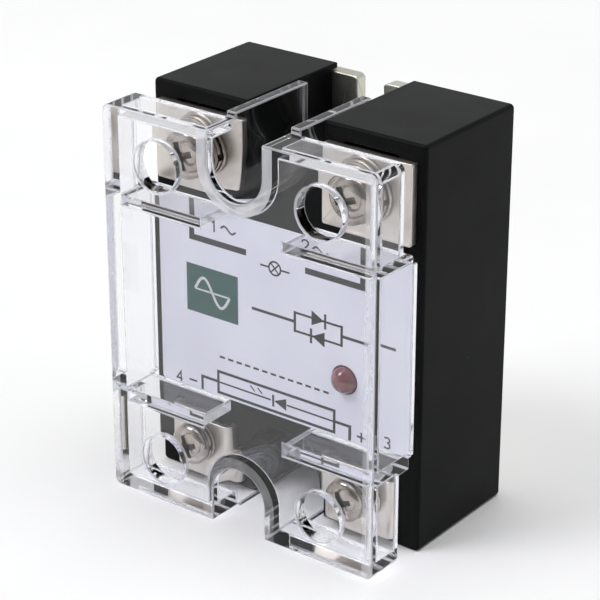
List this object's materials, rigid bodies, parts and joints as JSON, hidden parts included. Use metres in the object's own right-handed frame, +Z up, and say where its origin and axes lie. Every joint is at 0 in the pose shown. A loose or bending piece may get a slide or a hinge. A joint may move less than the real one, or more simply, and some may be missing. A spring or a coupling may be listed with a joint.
{
  "type": "solid state relay",
  "caption": "Upright black relay block on a metal base plate, with notched ends, screw terminals at the corners, a face label, a status light and a clear lift-off cover.",
  "frame": {"origin": "centre of the bounding box in X and Y, at the lowest plane, where the relay stands on its lower end", "axes": "+X to the right seen from the front, +Y from the clear cover towards the heatsink face, +Z up"},
  "size_m": [0.045, 0.032, 0.0585],
  "materials": {
    "housing_plastic": "black moulded plastic, satin to semi-gloss",
    "cover_plastic": "clear moulded polycarbonate with polished edges",
    "label_film": "pale lavender-white printed film, matt",
    "light_lens": "dark red diffusing epoxy lens, unlit",
    "nickel_plate": "bright nickel plating, slightly warm",
    "base_metal": "nickel-plated sheet, satin",
    "copper": "bare copper",
    "ceramic": "white alumina",
    "silicon": "metallised silicon die",
    "circuit_board": "green solder mask",
    "black_epoxy": "moulded component package",
    "resistor_body": "lacquered ceramic",
    "capacitor_box": "boxed film capacitor",
    "varistor_coat": "dipped epoxy",
    "can_sleeve": "sleeved aluminium can",
    "potting": "grey-black potting compound"
  },
  "bodies": {
    "relay": {"housing": "housing_plastic", "base_plate": "base_metal", "face_label": "label_film", "status_light": "light_lens", "light_lead_1": "nickel_plate", "light_lead_2": "nickel_plate", "output_terminal_1": "nickel_plate", "output_terminal_2": "nickel_plate", "input_terminal_3": "nickel_plate", "input_terminal_4": "nickel_plate", "terminal_nut_1": "nickel_plate", "terminal_nut_2": "nickel_plate", "terminal_nut_3": "nickel_plate", "terminal_nut_4": "nickel_plate", "ceramic_substrate": "ceramic", "thyristor_1": "silicon", "thyristor_2": "silicon", "busbar_1": "copper", "busbar_2": "copper", "gate_lead_1": "copper", "gate_lead_2": "copper", "potting_compound": "potting", "driver_board": "circuit_board", "optocoupler": "black_epoxy", "bridge_rectifier": "black_epoxy", "snubber_capacitor": "capacitor_box", "snubber_resistor": "resistor_body", "dropper_resistor_1": "resistor_body", "dropper_resistor_2": "resistor_body", "gate_resistor_1": "resistor_body", "gate_resistor_2": "resistor_body", "smoothing_capacitor": "can_sleeve", "varistor": "varistor_coat"},
    "screw_1": {"terminal_screw_1": "nickel_plate"},
    "screw_2": {"terminal_screw_2": "nickel_plate"},
    "screw_3": {"terminal_screw_3": "nickel_plate"},
    "screw_4": {"terminal_screw_4": "nickel_plate"},
    "washers_1": {"clamp_washer_1": "nickel_plate", "split_washer_1": "nickel_plate"},
    "washers_2": {"clamp_washer_2": "nickel_plate", "split_washer_2": "nickel_plate"},
    "washers_3": {"clamp_washer_3": "nickel_plate", "split_washer_3": "nickel_plate"},
    "washers_4": {"clamp_washer_4": "nickel_plate", "split_washer_4": "nickel_plate"},
    "cover": {"clear_cover": "cover_plastic"}
  },
  "joints": [
    {"name": "cover_lift_off", "type": "slide", "parent": "relay", "child": "cover", "axis": [0, -1, 0], "range_m": [0, 0.035]},
    {"name": "screw_travel_1", "type": "slide", "parent": "relay", "child": "washers_1", "axis": [0, -1, 0], "range_m": [0, 0.0028]},
    {"name": "screw_turn_1", "type": "hinge", "parent": "washers_1", "child": "screw_1", "pos_m": [-0.0135, -0.0083, 0.0506], "axis": [0, -1, 0], "range_deg": [0, 1440.5]},
    {"name": "screw_travel_2", "type": "slide", "parent": "relay", "child": "washers_2", "axis": [0, -1, 0], "range_m": [0, 0.0028]},
    {"name": "screw_turn_2", "type": "hinge", "parent": "washers_2", "child": "screw_2", "pos_m": [0.0135, -0.0083, 0.0506], "axis": [0, -1, 0], "range_deg": [0, 1440.5]},
    {"name": "screw_travel_3", "type": "slide", "parent": "relay", "child": "washers_3", "axis": [0, -1, 0], "range_m": [0, 0.0028]},
    {"name": "screw_turn_3", "type": "hinge", "parent": "washers_3", "child": "screw_3", "pos_m": [0.0135, -0.0083, 0.007], "axis": [0, -1, 0], "range_deg": [0, 2016.5]},
    {"name": "screw_travel_4", "type": "slide", "parent": "relay", "child": "washers_4", "axis": [0, -1, 0], "range_m": [0, 0.0028]},
    {"name": "screw_turn_4", "type": "hinge", "parent": "washers_4", "child": "screw_4", "pos_m": [-0.0135, -0.0083, 0.007], "axis": [0, -1, 0], "range_deg": [0, 2016.5]}
  ],
  "couplings": [
    {"joint": "screw_turn_1", "follows": "screw_travel_1", "rad_per_m": 8976},
    {"joint": "screw_turn_2", "follows": "screw_travel_2", "rad_per_m": 8976},
    {"joint": "screw_turn_3", "follows": "screw_travel_3", "rad_per_m": 12566},
    {"joint": "screw_turn_4", "follows": "screw_travel_4", "rad_per_m": 12566}
  ]
}
